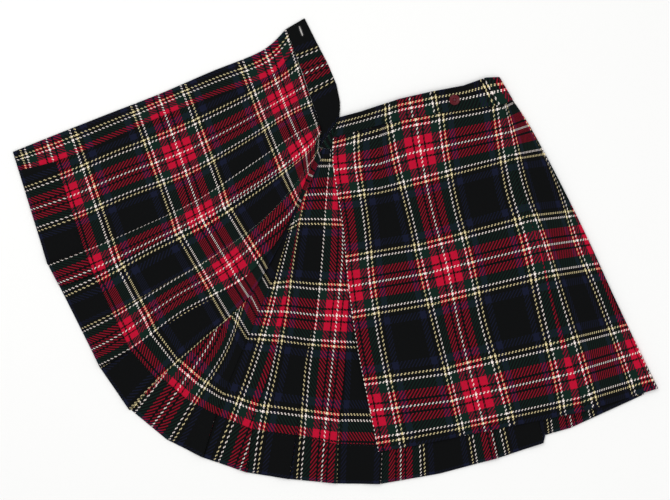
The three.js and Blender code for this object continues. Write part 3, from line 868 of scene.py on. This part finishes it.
def makeButton():
    size = button
    bm = bmesh.new()
    profile = [(0, 0.2), (size["radius"] - 1.4, 0), (size["radius"] - 0.4, 0.35), (size["radius"], 1.1),
               (size["radius"], size["edge"] - 0.9), (size["radius"] - 0.35, size["edge"] - 0.25),
               (size["radius"] - 1.0, size["edge"]), (size["radius"] - size["rim"], size["edge"] - 0.2),
               (size["radius"] - size["rim"] - 0.9, size["dish"] + 0.25),
               (size["radius"] - size["rim"] - 1.8, size["dish"]), (0, size["dish"] - 0.1)]
    verts = [bm.verts.new((x, 0, z)) for x, z in profile]
    edges = [bm.edges.new(pair) for pair in zip(verts, verts[1:])]
    bmesh.ops.spin(bm, geom=verts + edges, cent=(0, 0, 0), axis=(0, 0, 1), angle=2 * math.pi,
                   steps=size["turns"], use_merge=True)
    bmesh.ops.remove_doubles(bm, verts=bm.verts, dist=1e-4)
    bmesh.ops.recalc_face_normals(bm, faces=bm.faces)
    x, y = size["place"]
    base = cloth["underApronHeight"] + bands["thickness"] / 2 + 0.3 + bands["crown"] + ripple(x, y)
    bmesh.ops.transform(bm, matrix=Matrix.Scale(mm, 4) @ Matrix.Translation((x, y, base)), verts=bm.verts)
    disc = pieceFrom(bm, "buttonDisc")
    holes = bmesh.new()
    for quarter in range(4):
        angle = math.pi / 4 + quarter * math.pi / 2
        spot = Matrix.Translation((x + math.cos(angle) * size["holeReach"],
                                   y + math.sin(angle) * size["holeReach"], base + 1))
        bmesh.ops.create_cone(holes, cap_ends=True, segments=16, radius1=size["holeRadius"] * mm,
                              radius2=size["holeRadius"] * mm, depth=8 * mm,
                              matrix=Matrix.Translation(spot.translation * mm))
    drill = pieceFrom(holes, "buttonDrill")
    cutAway(disc, drill)
    # two crossed stitches through the holes
    threads = bmesh.new()
    for quarter in range(2):
        angle = math.pi / 4 + quarter * math.pi / 2
        for side in (-1, 1):
            offset = Vector((-math.sin(angle), math.cos(angle), 0)) * size["threadRadius"] * side
            reach = 2 * size["holeReach"] + 0.6
            level = base + size["dish"] + size["threadRadius"] * (1 + 1.4 * quarter)
            spot = Matrix.Translation((Vector((x, y, level)) + offset) * mm)
            turn = Matrix.Rotation(angle, 4, "Z") @ Matrix.Rotation(math.pi / 2, 4, "Y")
            bmesh.ops.create_cone(threads, cap_ends=True, segments=10, radius1=size["threadRadius"] * mm,
                                  radius2=size["threadRadius"] * mm, depth=reach * mm, matrix=spot @ turn)
    thread = pieceFrom(threads, "buttonThread")
    return disc, thread


buttonRed = makeButtonMaterial()
redThread = makeThreadMaterial("redThread", linear(70, 12, 24), linear(120, 26, 44))
disc, buttonThread = makeButton()
dress(disc, buttonRed, ["button"])
dress(buttonThread, redThread, [])
print("button made")

# Blind stitches along the inner edges of the turned-up hem and the front facing
sewing = {
    "step": 9, "radius": 0.22, "reach": 2.6,
    "facingStep": 0.04, "facingFirst": 1.05, "facingLast": 5.9,     # in stations
}


def stitchPoint(lines, pleats, index, level, distance, station, height):
    row, panels = panelsOf(lines, pleats, station)
    x, y = row.at(distance)
    return x, y, panelHeight(panels[index], distance) + height + level(x, y) + ripple(x, y)


def hemStitches(name, lines, pleats, level):
    bm = bmesh.new()
    hemEdge = cloth["hemEdge"]
    rise = onTop + cloth["thickness"] / 2
    low = cloth["thickness"] / 2 + 0.2
    below = hemEdge - 0.03
    for index, panel in enumerate(panelsOf(lines, pleats, hemEdge)[1]):
        first, last = hemReach(lines, index)(panel, hemEdge)
        for number in range(1, int((last - first) / sewing["step"])):
            distance = first + number * sewing["step"]
            start = stitchPoint(lines, pleats, index, level, distance, below, rise)
            end = stitchPoint(lines, pleats, index, level, distance + sewing["reach"], hemEdge + 0.015, low)
            addStitch(bm, start, end, sewing["radius"])
    if lines is overApronLines:
        for station in stationsBetween(sewing["facingFirst"], sewing["facingLast"], sewing["facingStep"]):
            width = spline(facingWidths, station)
            start = stitchPoint(lines, pleats, 0, level, width - 1.6, station, rise)
            end = stitchPoint(lines, pleats, 0, level, width + 1.2, station + 0.012, low)
            addStitch(bm, start, end, sewing["radius"])
    return pieceFrom(bm, name)


darkThread = makeThreadMaterial("darkThread", linear(16, 17, 18), linear(40, 42, 44))
slotThreads = slotStitches()
overThreads = hemStitches("overApronStitches", overApronLines, overApronPleats, overLevel)
backThreads = hemStitches("pleatedBackStitches", backLines, backPleats, backLevel)
for piece in (slotThreads, overThreads, backThreads):
    dress(piece, darkThread, [])
print("sewing made")

# Floor, light and camera
studio = {
    "floor": linear(246, 246, 245), "floorReach": 6, "floorLevel": -0.0002,
    "lights": [("keyLight", (-1.6, 1.4, 3.4), 70, 3.2), ("fillLight", (2.0, -1.2, 3.2), 31.5, 2.6)],
    "fill": 0.62,
    "lens": 85,
    "camera": (-0.001, 0.002, 3.16),
}


def makeStage():
    bm = bmesh.new()
    bmesh.ops.create_grid(bm, x_segments=1, y_segments=1, size=studio["floorReach"])
    bmesh.ops.translate(bm, vec=(0, 0, studio["floorLevel"]), verts=bm.verts)
    floor = pieceFrom(bm, "floor", False)
    material, tree, shader = newMaterial("paleFloor", 0.9)
    shader.inputs["Base Color"].default_value = studio["floor"]
    floor.data.materials.append(material)
    for name, place, power, size in studio["lights"]:
        light = bpy.data.lights.new(name, "AREA")
        light.energy = power
        light.size = size
        lamp = bpy.data.objects.new(name, light)
        lamp.location = place
        lamp.rotation_mode = "QUATERNION"
        lamp.rotation_quaternion = (-Vector(place)).to_track_quat("-Z", "Y")
        bpy.context.collection.objects.link(lamp)
    world = bpy.data.worlds.new("studio")
    bpy.context.scene.world = world
    world.use_nodes = True
    world.node_tree.nodes["Background"].inputs["Color"].default_value = (1, 1, 1, 1)
    world.node_tree.nodes["Background"].inputs["Strength"].default_value = studio["fill"]


def makeCamera():
    lens = bpy.data.cameras.new("camera")
    lens.lens = studio["lens"]
    camera = bpy.data.objects.new("camera", lens)
    camera.location = studio["camera"]
    bpy.context.collection.objects.link(camera)
    bpy.context.scene.camera = camera


makeStage()
makeCamera()
bpy.context.scene.view_settings.view_transform = "Standard"
print("stage made")
